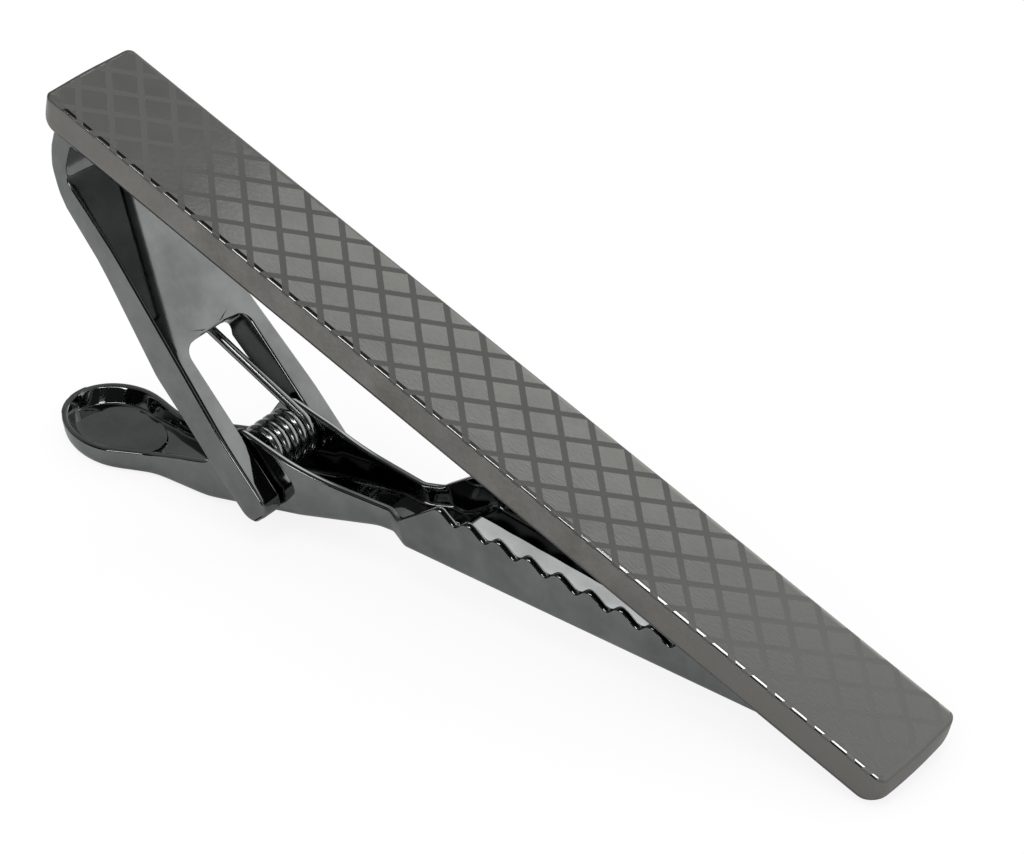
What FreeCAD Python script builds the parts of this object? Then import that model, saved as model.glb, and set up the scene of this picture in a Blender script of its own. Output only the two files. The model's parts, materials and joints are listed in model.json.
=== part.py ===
import FreeCAD, Part
import math
import os

# Tie clip: a patterned bar, a folded bracket soldered under one end of it, and a sprung lever
# that turns on a pin in the bracket's fork and shuts its toothed jaw on the bar's underside.
# Millimetres and degrees. Each piece is drawn in the bar's frame: X along the bar from its
# hinge end, Y across it, Z up out of its face, which lies at Z = 0. At the end the closed clip
# is laid on a table, where it stands on the thumb pad and on the free end of the bar.

Vector = FreeCAD.Vector
ALONG_Y = Vector(0, 1, 0)

# Face bar
bar_length = 54.0
bar_width = 6.0
bar_thickness = 2.2
bar_corner_radius = 0.8
bar_belly_radius = 0.8
bar_face_bevel = 0.12
bar_end_bulge = 0.45
bar_end_bulge_drop = 1.0
bar_end_bulge_radius = 1.5
bar_end_tuck = 0.25
bar_end_tuck_radius = 0.6

# Back bracket: a tongue in a seat under the bar, a U-bend, then a sloping plate with a fork
tongue_width = 4.4
tongue_length = 10.0
seat_depth = 0.6
seat_clearance = 0.05
bracket_sheet = 0.8
bracket_width = 5.6
bracket_slope = 28.0
bend_inside_radius = 1.0
bend_setback = 0.9
thickening_start = 2.5
shoulder_start = 6.4
shoulder_length = 2.6
shoulder_radius = 3.0
fork_depth = 1.4
leg_width = 1.35
window_start = 10.3
window_corner_radius = 0.8
pin_reach = 17.0
leg_tip_reach = 2.8

# Pivot pin
pin_diameter = 0.8
pin_cover = 0.4
pin_end_chamfer = 0.1
pin_running_clearance = 0.05

# Jaw lever: reaches are measured along its arm from the pin, drops down from the pin's axis
lever_sheet = 0.4
lever_width = 4.1
lever_side_gap = 0.15
pad_hinge_reach = 8.5
pad_pitch = 6.5
pad_outer_length = 7.8
pad_inner_length = 1.6
pad_width = 5.7
pad_nose_width = 2.4
pad_nose_length = 3.2
pad_side_radius = 6.0
pad_rim_drop = 1.3
pad_depth = 1.1
pad_edge_radius = 0.5
belly_reach = 4.5
belly_drop = 2.95
wall_foot_reach = 3.4
wall_foot_drop = 0.85
wall_top_reach = 0.7
wall_rise = 1.75
wall_top_radius = 0.8
taper_reach = 2.5
neck_reach = 8.6
neck_width = 3.1
neck_rim_drop = 1.4
neck_rim_radius = 0.5
notch_reach = 9.4
notch_drop = 1.95
knee_drop = 2.45
jaw_root_reach = 9.8
jaw_width = 4.2
jaw_peak_reach = 12.6
jaw_peak_drop = 0.05
jaw_peak_radius = 0.5
jaw_tip_reach = 31.1
jaw_tip_drop = 6.65
jaw_tip_width = 3.7
jaw_tip_thickness = 0.5
jaw_end_wall = 1.2
jaw_lip_length = 3.4
jaw_gap = 0.1
tooth_pitch = 1.77
tooth_depth = 0.55
tooth_radius = 0.65
first_tooth = 0.95

# Torsion spring
wire_diameter = 0.36
coil_diameter = 3.0
coil_full_turns = 3
coil_side_gap = 0.05
spring_touch_gap = 0.05
bracket_arm_hold = 1.2
lever_arm_reach = 5.5


def rounded_face(corners):
    """Face in the XY plane through (x, y, radius) corners, each one rounded by its radius."""
    count = len(corners)
    points = [Vector(x, y, 0) for x, y, radius in corners]
    stops = []
    for i in range(count):
        here = points[i]
        back = (points[i - 1] - here).normalize()
        ahead = (points[(i + 1) % count] - here).normalize()
        radius = corners[i][2]
        if radius == 0:
            stops.append((here, None, here))
            continue
        half = back.getAngle(ahead) / 2
        inward = (back + ahead).normalize()
        reach = radius / math.tan(half)
        middle = here + inward * (radius / math.sin(half) - radius)
        stops.append((here + back * reach, middle, here + ahead * reach))
    edges = []
    for i in range(count):
        start, middle, end = stops[i]
        if middle is not None:
            edges.append(Part.Arc(start, middle, end).toShape())
        following = stops[(i + 1) % count][0]
        if (following - end).Length > 1e-6:
            edges.append(Part.LineSegment(end, following).toShape())
    return Part.Face(Part.Wire(edges))


def plan_prism(corners, low, high):
    """Solid with a plan outline of (x, y, radius) corners between two heights."""
    face = rounded_face(corners)
    face.translate(Vector(0, 0, low))
    return face.extrude(Vector(0, 0, high - low))


def side_prism(corners, width):
    """Solid with a side outline of (x, z, radius) corners, centred across Y."""
    face = rounded_face(corners)
    face.rotate(Vector(0, 0, 0), Vector(1, 0, 0), 90)
    face.translate(Vector(0, -width / 2, 0))
    return face.extrude(Vector(0, width, 0))


def mirrored(half_outline):
    """Plan outline that repeats the (x, y, radius) corners of its -Y half on the +Y side."""
    other_half = [(x, -y, radius) for x, y, radius in reversed(half_outline)]
    return half_outline + other_half


def cross_cylinder(radius, width, x, z):
    """Cylinder across Y, centred on the clip's middle plane."""
    return Part.makeCylinder(radius, width, Vector(x, -width / 2, z), ALONG_Y)


# Places that the pieces share
fork_gap = lever_width + 2 * lever_side_gap
fork_width = fork_gap + 2 * leg_width
pin_length = fork_width - 2 * pin_cover
bar_underside = -bar_thickness
bend_outside_radius = bend_inside_radius + bracket_sheet
bend_x = bend_setback + bend_outside_radius
bend_z = bar_underside + seat_depth - bend_outside_radius
slope = math.radians(bracket_slope)
plate_along = Vector(math.cos(slope), 0, -math.sin(slope))
plate_up = Vector(math.sin(slope), 0, math.cos(slope))
plate_start = Vector(bend_x, 0, bend_z) - plate_up * bend_inside_radius
plate_place = FreeCAD.Placement(plate_start, FreeCAD.Rotation(ALONG_Y, bracket_slope))
pin_drop = fork_depth / 2
pin_centre = plate_start + plate_along * pin_reach - plate_up * pin_drop

# The lever is turned about the pin until the tip of its jaw is the jaw gap under the bar
tip_radius = math.hypot(jaw_tip_reach, jaw_tip_drop)
tip_height = bar_underside - jaw_gap - pin_centre.z
lever_tilt = math.degrees(math.asin(tip_height / tip_radius) + math.atan2(jaw_tip_drop, jaw_tip_reach))
lever_place = FreeCAD.Placement(pin_centre, FreeCAD.Rotation(ALONG_Y, -lever_tilt))
pad_hinge = Vector(-pad_hinge_reach, 0, -pad_rim_drop)
pad_place = FreeCAD.Placement(pad_hinge, FreeCAD.Rotation(ALONG_Y, pad_pitch))


def make_bar_blank():
    """Flat bar before its seat is cut: bevelled face, rounded corners, ends and underside."""
    half = bar_width / 2
    end = bar_length + bar_end_bulge
    plan = [
        (-bar_end_bulge, -half, bar_corner_radius + bar_end_bulge),
        (end, -half, bar_corner_radius + bar_end_bulge),
        (end, half, bar_corner_radius + bar_end_bulge),
        (-bar_end_bulge, half, bar_corner_radius + bar_end_bulge),
    ]
    side = [
        (0, 0, 0),
        (-bar_end_bulge, -bar_end_bulge_drop, bar_end_bulge_radius),
        (bar_end_tuck, bar_underside, bar_end_tuck_radius),
        (bar_length - bar_end_tuck, bar_underside, bar_end_tuck_radius),
        (bar_length + bar_end_bulge, -bar_end_bulge_drop, bar_end_bulge_radius),
        (bar_length, 0, 0),
    ]
    section = [
        (-half, 0, 0),
        (-half, bar_underside, bar_belly_radius),
        (half, bar_underside, bar_belly_radius),
        (half, 0, 0),
    ]
    belly = rounded_face(section)
    belly.rotate(Vector(0, 0, 0), Vector(1, 0, 0), 90)
    belly.rotate(Vector(0, 0, 0), Vector(0, 0, 1), 90)
    belly.translate(Vector(-bar_end_bulge, 0, 0))
    belly = belly.extrude(Vector(bar_length + 2 * bar_end_bulge, 0, 0))
    bar = plan_prism(plan, bar_underside, 0).common(side_prism(side, bar_width)).common(belly)
    face_edges = [e for e in bar.Edges if e.BoundBox.ZMin > -bar_face_bevel]
    return bar.makeChamfer(bar_face_bevel, face_edges)


def make_face_bar():
    """Flat bar with a seat in its underside for the bracket's tongue."""
    seat_start = bend_setback - seat_clearance
    seat_end = bend_x + tongue_length + seat_clearance
    seat_width = tongue_width + 2 * seat_clearance
    seat = Part.makeBox(
        seat_end - seat_start,
        seat_width,
        seat_depth,
        Vector(seat_start, -seat_width / 2, bar_underside),
    )
    return make_bar_blank().cut(seat)


def make_back_bracket():
    """Folded strip: tongue, U-bend and sloping plate, widened into a fork for the lever."""
    tongue = Part.makeBox(
        tongue_length,
        tongue_width,
        bracket_sheet,
        Vector(bend_x, -tongue_width / 2, bend_z + bend_inside_radius),
    )

    def bend_point(radius, turn):
        return Vector(bend_x - radius * math.sin(turn), 0, bend_z + radius * math.cos(turn))

    bend_turn = math.pi - slope
    upright = math.pi / 2
    inside = [bend_point(bend_inside_radius, turn) for turn in (0, bend_turn / 2, bend_turn)]
    halfway = (bend_turn + upright) / 2
    outside = [bend_point(bend_outside_radius, turn) for turn in (bend_turn, halfway, upright)]
    corner = outside[2] + Vector(0, 0, bend_outside_radius)
    top = bend_point(bend_outside_radius, 0)
    bend_edges = [
        Part.Arc(*inside).toShape(),
        Part.LineSegment(inside[2], outside[0]).toShape(),
        Part.Arc(*outside).toShape(),
        Part.LineSegment(outside[2], corner).toShape(),
        Part.LineSegment(corner, top).toShape(),
        Part.LineSegment(top, inside[0]).toShape(),
    ]
    bend = Part.Face(Part.Wire(bend_edges))
    bend.translate(Vector(0, -bracket_width / 2, 0))
    bend = bend.extrude(Vector(0, bracket_width, 0))
    tongue_strip = Part.makeBox(bar_length, tongue_width, bar_thickness)
    tongue_strip.translate(Vector(0, -tongue_width / 2, bar_underside))
    bend = bend.cut(make_bar_blank().cut(tongue_strip))

    plate_end = pin_reach + leg_tip_reach
    shoulder_end = shoulder_start + shoulder_length
    leg_tip_radius = fork_depth / 2
    side_outline = [
        (0, 0, 0),
        (plate_end, 0, leg_tip_radius),
        (plate_end, -fork_depth, leg_tip_radius),
        (shoulder_end, -fork_depth, 0),
        (thickening_start, -bracket_sheet, 0),
        (0, -bracket_sheet, 0),
    ]
    half_plan = [
        (0, -bracket_width / 2, 0),
        (shoulder_start, -bracket_width / 2, shoulder_radius),
        (shoulder_end, -fork_width / 2, shoulder_radius),
        (plate_end, -fork_width / 2, 0),
    ]
    half_window = [
        (window_start, -fork_gap / 2, window_corner_radius),
        (plate_end + fork_depth, -fork_gap / 2, 0),
    ]
    plate = side_prism(side_outline, fork_width)
    plate = plate.common(plan_prism(mirrored(half_plan), -2 * fork_depth, fork_depth))
    plate = plate.cut(plan_prism(mirrored(half_window), -2 * fork_depth, fork_depth))
    plate = plate.cut(cross_cylinder(pin_diameter / 2, pin_length, pin_reach, -pin_drop))
    plate.Placement = plate_place
    return tongue.fuse([bend, plate]).removeSplitter()


def make_pivot_pin():
    """Plain pin whose ends are closed in by the outer skin of the fork's legs."""
    pin = cross_cylinder(pin_diameter / 2, pin_length, pin_centre.x, pin_centre.z)
    rims = [e for e in pin.Edges if isinstance(e.Curve, Part.Circle)]
    return pin.makeChamfer(pin_end_chamfer, rims)


def jaw_bottom(reach):
    """Height of the jaw's underside below the pin, on a line from the knee to the tip."""
    share = (reach - neck_reach) / (jaw_tip_reach - neck_reach)
    return -knee_drop + share * (knee_drop - jaw_tip_drop - jaw_tip_thickness)


def lip_start():
    """Reach and height where the toothed edge meets the lip, which lies along the shut bar."""
    lip_fall = math.tan(math.radians(lever_tilt))
    return jaw_tip_reach - jaw_lip_length, -jaw_tip_drop + lip_fall * jaw_lip_length


def lever_plan(inset):
    """Half plan outline of the lever from inside its pad to its tip, drawn in by the inset."""
    return [
        (-pad_hinge_reach - pad_depth, -lever_width / 2 + inset, 0),
        (taper_reach, -lever_width / 2 + inset, 0),
        (neck_reach, -neck_width / 2 + inset, 0),
        (jaw_root_reach, -jaw_width / 2 + inset, 0),
        (jaw_tip_reach, -jaw_tip_width / 2 + inset, 0),
    ]


def lever_underside(rise):
    """Side outline of the lever's underside, from pad to tip, lifted by the rise."""
    heel = pad_place.multVec(Vector(0, 0, rise - pad_depth))
    return [
        (heel.x, heel.z, 0),
        (-belly_reach, -belly_drop + rise, 0),
        (neck_reach, -knee_drop + rise, 0),
        (jaw_tip_reach, jaw_bottom(jaw_tip_reach) + rise, 0),
    ]


def make_jaw_lever():
    """Folded lever: dished thumb pad, pivot walls, neck and a toothed channel jaw."""
    nose_slant = math.atan2((pad_width - pad_nose_width) / 2, pad_nose_length)
    nose_radius = pad_nose_width / 2 / math.tan((math.pi / 2 - nose_slant) / 2)
    half_pad = [
        (-pad_outer_length, -pad_nose_width / 2, nose_radius),
        (-pad_outer_length + pad_nose_length, -pad_width / 2, pad_side_radius),
        (pad_inner_length, -pad_width / 2, pad_width / 2),
    ]
    pad = plan_prism(mirrored(half_pad), -pad_depth, 0)
    pad_edges = [e for e in pad.Edges if e.BoundBox.ZMax < -pad_depth + 1e-3]
    pad = pad.makeFillet(pad_edge_radius, pad_edges)
    pad.Placement = pad_place
    dish = rounded_face(mirrored(half_pad)).makeOffset2D(-lever_sheet)
    dish.translate(Vector(0, 0, lever_sheet - pad_depth))
    dish = dish.extrude(Vector(0, 0, 2 * pad_depth))
    dish.Placement = pad_place

    lip_reach, lip_height = lip_start()
    rim = [
        (jaw_tip_reach, -jaw_tip_drop, 0),
        (lip_reach, lip_height, 0),
        (jaw_peak_reach, -jaw_peak_drop, jaw_peak_radius),
        (notch_reach, -notch_drop, 0),
        (neck_reach, -neck_rim_drop, neck_rim_radius),
        (-wall_top_reach, wall_rise, wall_top_radius),
        (-wall_foot_reach, -wall_foot_drop, 0),
        (-pad_hinge_reach, -pad_rim_drop, 0),
    ]
    headroom = wall_rise + lever_sheet
    body = side_prism(lever_underside(0) + rim, pad_width)
    body = body.common(plan_prism(mirrored(lever_plan(0)), jaw_bottom(jaw_tip_reach), headroom))

    trough_end = jaw_tip_reach - jaw_end_wall
    trough_side = lever_underside(lever_sheet) + [(jaw_tip_reach, headroom, 0)]
    trough_side = trough_side + [(-pad_hinge_reach, headroom, 0)]
    trough = side_prism(trough_side, pad_width)
    trough = trough.common(plan_prism(mirrored(lever_plan(lever_sheet)), -jaw_tip_reach, headroom))
    end_stop = Part.makeBox(jaw_tip_reach, pad_width, 2 * jaw_tip_reach)
    end_stop.translate(Vector(trough_end, -pad_width / 2, -jaw_tip_reach))
    trough = trough.cut(end_stop)

    lever = body.fuse(pad).cut(trough.fuse(dish))
    edge_fall = (lip_height + jaw_peak_drop) / (lip_reach - jaw_peak_reach)
    edge_turn = math.atan(edge_fall)
    tooth_row = lip_reach - jaw_peak_reach - first_tooth - tooth_radius
    for tooth in range(math.floor(tooth_row / tooth_pitch) + 1):
        along = first_tooth + tooth * tooth_pitch
        clear = tooth_radius - tooth_depth
        x = jaw_peak_reach + along - clear * math.sin(edge_turn)
        z = -jaw_peak_drop + along * edge_fall + clear * math.cos(edge_turn)
        lever = lever.cut(cross_cylinder(tooth_radius, pad_width, x, z))
    pin_hole_radius = pin_diameter / 2 + pin_running_clearance
    lever = lever.cut(cross_cylinder(pin_hole_radius, pad_width, 0, 0)).removeSplitter()
    lever.Placement = lever_place
    return lever


def arc_between(start, way, end):
    """Arc edge that leaves the start along the unit vector way and passes through the end."""
    chord = end - start
    bulge = way - chord * (way.dot(chord) / chord.dot(chord))
    angle = way.getAngle(chord)
    rise = chord.Length / 2 * math.tan(angle / 2)
    return Part.Arc(start, start + chord * 0.5 + bulge.normalize() * rise, end).toShape()


def biarc(start, start_way, end, end_way):
    """Two arcs from start to end that meet smoothly and keep both end directions."""
    span = end - start
    lean = span.dot(start_way + end_way)
    spread = 2 * (1 - start_way.dot(end_way))
    reach = (math.sqrt(lean**2 + spread * span.dot(span)) - lean) / spread
    middle = (start + end + (start_way - end_way) * reach) * 0.5
    return [arc_between(start, start_way, middle), arc_between(end, end_way * -1, middle)]


def make_torsion_spring():
    """Coil round the pin, with one arm under the bracket's plate and one on the lever's floor."""
    wire_radius = wire_diameter / 2
    coil_radius = coil_diameter / 2 - wire_radius
    touch = wire_radius + spring_touch_gap
    half_span = lever_width / 2 - lever_sheet - coil_side_gap - wire_radius

    # Arm under the plate: a line over the coil that clears the lower edge of the window
    edge = Vector(window_start - pin_reach, 0, pin_drop - fork_depth)
    dip = math.asin((coil_radius + touch) / edge.Length) + math.atan2(-edge.z, -edge.x)
    hold_way = plate_place.Rotation.multVec(Vector(-math.cos(dip), 0, -math.sin(dip)))
    hold_up = plate_place.Rotation.multVec(Vector(-math.sin(dip), 0, math.cos(dip)))
    hold_length = edge.Length * math.cos(math.asin((coil_radius + touch) / edge.Length))
    coil_top = pin_centre + hold_up * coil_radius
    hold_end = coil_top + hold_way * (hold_length + bracket_arm_hold)

    # Arm on the lever's floor: a line under the coil down to the floor towards the pad
    heel, belly = [Vector(x, 0, z) for x, z, radius in lever_underside(lever_sheet)[:2]]
    floor_fall = (belly.z - heel.z) / (belly.x - heel.x)
    floor_drop = floor_fall * (belly.x + lever_arm_reach) - belly.z
    push = Vector(-lever_arm_reach, 0, touch - floor_drop)
    fall = math.atan2(-push.z, -push.x) - math.asin(coil_radius / push.Length)
    push_way = lever_place.Rotation.multVec(Vector(-math.cos(fall), 0, -math.sin(fall)))
    push_up = lever_place.Rotation.multVec(Vector(-math.sin(fall), 0, math.cos(fall)))
    coil_foot = pin_centre - push_up * coil_radius
    push_end = pin_centre + lever_place.Rotation.multVec(push)

    # Coil: biarcs of at most a quarter turn, clockwise from the top arm to the bottom arm
    start_angle = math.atan2(hold_up.z, hold_up.x)
    end_angle = math.atan2(-push_up.z, -push_up.x)
    sweep = (start_angle - end_angle) % (2 * math.pi) + 2 * math.pi * coil_full_turns
    steps = math.ceil(sweep / (math.pi / 2))
    advance = 2 * half_span / sweep

    def coil_point(turn):
        angle = start_angle - turn
        ring = Vector(math.cos(angle), 0, math.sin(angle)) * coil_radius
        return pin_centre + ring + Vector(0, half_span - advance * turn, 0)

    def coil_way(turn):
        angle = start_angle - turn
        ring = Vector(math.sin(angle), 0, -math.cos(angle)) * coil_radius
        return (ring + Vector(0, -advance, 0)).normalize()

    turns = [sweep * step / steps for step in range(steps + 1)]
    ways = [coil_way(turn) for turn in turns]
    ways[0] = hold_way * -1
    ways[-1] = push_way
    far_side = Vector(0, half_span, 0)
    edges = [Part.LineSegment(hold_end + far_side, coil_top + far_side).toShape()]
    for i in range(steps):
        edges += biarc(coil_point(turns[i]), ways[i], coil_point(turns[i + 1]), ways[i + 1])
    edges.append(Part.LineSegment(coil_foot - far_side, push_end - far_side).toShape())
    path = Part.Wire(Part.__sortEdges__(edges))
    section = Part.Wire(Part.makeCircle(wire_radius, hold_end + far_side, hold_way))
    spring = path.makePipeShell([section], True, False)

    samples = path.discretize(Number=400)
    least_gap = path.Length
    apart = math.pi * coil_radius
    spacing = path.Length / (len(samples) - 1)
    for i, here in enumerate(samples):
        for there in samples[i + math.ceil(apart / spacing):]:
            least_gap = min(least_gap, (there - here).Length - wire_diameter)
    print("spring turns", round(sweep / (2 * math.pi), 2), "least gap to itself", round(least_gap, 3))
    section_area = math.pi * wire_radius**2
    print("spring volume over section times length", round(spring.Volume / (section_area * path.Length), 4))
    return spring


pieces = {
    "face_bar": make_face_bar(),
    "back_bracket": make_back_bracket(),
    "pivot_pin": make_pivot_pin(),
    "jaw_lever": make_jaw_lever(),
    "torsion_spring": make_torsion_spring(),
}


def lowest(points, tilt):
    """Height of the lowest of the points once they are turned by the tilt about Y."""
    return min(p.z * math.cos(tilt) - p.x * math.sin(tilt) for p in points)


# Lay the clip down: turn it until its pad and the bar's free end stand equally low
table_tolerance = 0.01
pad_points = pieces["jaw_lever"].tessellate(table_tolerance)[0]
bar_points = pieces["face_bar"].tessellate(table_tolerance)[0]
low_tilt, high_tilt = 0, math.radians(lever_tilt)
for halving in range(40):
    table_tilt = (low_tilt + high_tilt) / 2
    if lowest(pad_points, table_tilt) < lowest(bar_points, table_tilt):
        low_tilt = table_tilt
    else:
        high_tilt = table_tilt
turn = FreeCAD.Placement(Vector(0, 0, 0), FreeCAD.Rotation(ALONG_Y, math.degrees(table_tilt)))
all_points = [turn.multVec(p) for piece in pieces.values() for p in piece.tessellate(table_tolerance)[0]]
middle_x = (min(p.x for p in all_points) + max(p.x for p in all_points)) / 2
floor_z = min(p.z for p in all_points)
lay_down = FreeCAD.Placement(Vector(-middle_x, 0, -floor_z), turn.Rotation)

os.makedirs("parts", exist_ok=True)
for name, piece in pieces.items():
    piece.Placement = lay_down.multiply(piece.Placement)
    piece.exportStep(f"parts/{name}.step")
    box = piece.BoundBox
    print(name, piece.isValid(), len(piece.Solids), "solid, volume", round(piece.Volume, 3), "size", end=" ")
    print(round(box.XLength, 2), round(box.YLength, 2), round(box.ZLength, 2))

face_middle = lay_down.multVec(Vector(bar_length / 2, 0, 0))
face_way = lay_down.Rotation.multVec(Vector(0, 0, 1))
pin_place = lay_down.multVec(pin_centre)
print("table tilt", round(math.degrees(table_tilt), 3), "lever tilt", round(lever_tilt, 3))
print("pin", [round(v, 4) for v in pin_place], "face", [round(v, 4) for v in face_middle], "way",
      [round(v, 6) for v in face_way])
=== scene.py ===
# %% [markdown]
# # A tie clip with a crosshatched face
# A tie clip is a flat bar with a folded strip behind it. A small sprung lever turns on a pin between the strip's two
# legs and presses its toothed jaw against the back of the bar. The CAD model gives the sizes and the joint. This
# lesson replaces its plain solids with pieces that have soft edges, a marked crosshatch and real metal finishes.

# %% Load the CAD frame
import json
import math

import bmesh
import bpy
from mathutils import Matrix, Vector


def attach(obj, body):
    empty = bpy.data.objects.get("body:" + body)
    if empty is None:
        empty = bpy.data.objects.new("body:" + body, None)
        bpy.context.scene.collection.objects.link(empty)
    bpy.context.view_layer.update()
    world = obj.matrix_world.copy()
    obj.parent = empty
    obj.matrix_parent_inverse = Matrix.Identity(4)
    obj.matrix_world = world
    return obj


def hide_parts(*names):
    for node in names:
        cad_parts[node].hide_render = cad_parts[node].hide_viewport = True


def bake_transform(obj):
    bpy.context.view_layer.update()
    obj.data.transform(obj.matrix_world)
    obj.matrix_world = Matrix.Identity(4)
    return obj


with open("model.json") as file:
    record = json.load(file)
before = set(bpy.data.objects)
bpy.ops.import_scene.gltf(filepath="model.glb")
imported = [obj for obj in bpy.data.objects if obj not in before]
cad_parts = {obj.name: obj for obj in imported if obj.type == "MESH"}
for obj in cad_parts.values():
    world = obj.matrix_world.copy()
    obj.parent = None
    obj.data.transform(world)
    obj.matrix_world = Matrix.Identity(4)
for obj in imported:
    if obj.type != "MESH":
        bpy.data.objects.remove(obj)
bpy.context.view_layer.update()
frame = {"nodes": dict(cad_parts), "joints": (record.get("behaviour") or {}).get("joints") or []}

# %% [markdown]
# ## Where the pieces lie
# The clip lies on the table on its thumb pad and on the free end of its bar, so nothing in it is level. Each piece is
# easier to model straight, in a frame of its own, and is then laid down with a matrix. The bar's frame starts at the
# hinge end of its face, with X along the bar and Z out of the face. The plate's frame follows the sloping strip. The
# lever's frame has its origin on the pin and X towards the tip of the jaw.

# %% Frames of the bar, the plate and the lever
mm = 0.001
table_tilt = math.radians(22.383)
plate_slope = math.radians(28)
lever_tilt = math.radians(31.505)
pin_centre = Vector((-11.6161, 0, 4.0644)) * mm


def moved(x, z, turn):
    """Matrix that turns a piece about Y and then carries it to x and z, in mm."""
    return Matrix.Translation((x * mm, 0, z * mm)) @ Matrix.Rotation(turn, 4, "Y")


bar_place = moved(-22.3485, 22.4159, table_tilt)
plate_in_bar = moved(2.2305, -4.2829, plate_slope)
lever_place = Matrix.Translation(pin_centre) @ Matrix.Rotation(table_tilt - lever_tilt, 4, "Y")
joint = frame["joints"][0]
print("joint", joint.get("name"), "and the pin at", [round(value / mm, 3) for value in pin_centre])

# %% [markdown]
# ## Small helpers
# Operators act on whatever is selected, and the loaded CAD nodes are still selected. So each piece starts by
# deselecting everything. In edit mode the faces and edges are chosen by a test on their place or their normal, which
# does by code what the mouse does by hand.

# %% Helpers for selecting and finishing
def start_clean():
    """Leave edit mode and deselect every object."""
    if bpy.context.object and bpy.context.object.mode != "OBJECT":
        bpy.ops.object.mode_set(mode="OBJECT")
    bpy.ops.object.select_all(action="DESELECT")


def take(piece):
    """Select only this piece and make it the active one."""
    start_clean()
    piece.select_set(True)
    bpy.context.view_layer.objects.active = piece


def pick(piece, kind, wanted):
    """In edit mode, select the vertices, edges or faces that pass the test, and count them."""
    bpy.ops.mesh.select_mode(type=kind)
    bpy.ops.mesh.select_all(action="DESELECT")
    mesh = bmesh.from_edit_mesh(piece.data)
    parts = {"VERT": mesh.verts, "EDGE": mesh.edges, "FACE": mesh.faces}[kind]
    chosen = [part for part in parts if wanted(part)]
    for part in chosen:
        part.select_set(True)
    bmesh.update_edit_mesh(piece.data)
    return len(chosen)


def apply_modifier(piece, kind, **settings):
    """Add one modifier to the piece and apply it at once."""
    take(piece)
    modifier = piece.modifiers.new(kind.lower(), kind)
    for name, value in settings.items():
        setattr(modifier, name, value)
    bpy.ops.object.modifier_apply(modifier=modifier.name)


def lay(piece, place):
    """Carry the piece to its place and keep that place in its mesh."""
    take(piece)
    piece.matrix_world = place
    bpy.ops.object.transform_apply(location=True, rotation=True, scale=True)


def report_piece(piece):
    """Print the size of a piece and the number of edges that do not join two faces."""
    check = bmesh.new()
    check.from_mesh(piece.data)
    loose = sum(1 for edge in check.edges if not edge.is_manifold)
    spans = [max(v.co[i] for v in check.verts) - min(v.co[i] for v in check.verts) for i in range(3)]
    sizes = [round(span / mm, 2) for span in spans]
    print(piece.name, "is", sizes, "mm,", len(check.faces), "faces,", loose, "open")
    check.free()


# %% [markdown]
# ## The face bar
# On the real clip the bar is cut from flat stock. Its ends bulge a little, its underside is rounded for the cloth,
# and the edge of its face is a soft round that catches the light. A cube of the right size is the start. Bevels round
# the upright corners and the underside. Level and lengthwise cuts then give the ends points that can be pushed out.
# The last bevel is the round along the face, and a narrow row of faces inside it keeps the flat shaded flat.

# %% Bar blank
bar_length, bar_width, bar_depth = 54, 6, 2.2
bar_middle, bar_half = bar_length / 2, bar_width / 2
start_clean()
bpy.ops.mesh.primitive_cube_add(size=1, location=(bar_middle * mm, 0, -bar_depth / 2 * mm),
                                scale=(bar_length * mm, bar_width * mm, bar_depth * mm))
bar = bpy.context.object
bar.name = "crosshatched_bar"
bpy.ops.object.transform_apply(location=True, rotation=True, scale=True)
bpy.ops.object.mode_set(mode="EDIT")


def bends(edge, first, second):
    """True where one face beside the edge passes the first test and the other the second."""
    if len(edge.link_faces) != 2:
        return False
    one, two = [face.normal for face in edge.link_faces]
    return (first(one) and second(two)) or (first(two) and second(one))


def bevel(offset, segments):
    """Round the selected edges by this many mm."""
    bpy.ops.mesh.bevel(offset=offset * mm, segments=segments, profile=0.5, affect="EDGES", offset_type="OFFSET")


corner_round, underside_round = 0.9, 0.7
corners = pick(bar, "EDGE", lambda e: bends(e, lambda n: abs(n.y) > 0.9, lambda n: abs(n.x) > 0.9))
bevel(corner_round, 7)
pick(bar, "EDGE", lambda e: bends(e, lambda n: n.z < -0.95, lambda n: n.z > -0.95))
bevel(underside_round, 7)
print("corner edges rounded:", corners)

# %% Bulging ends and sharper corners at the face
def cut(place, normal):
    """Cut the selected faces along a plane, given in mm."""
    bpy.ops.mesh.bisect(plane_co=Vector(place) * mm, plane_no=normal, threshold=1e-6)


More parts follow.
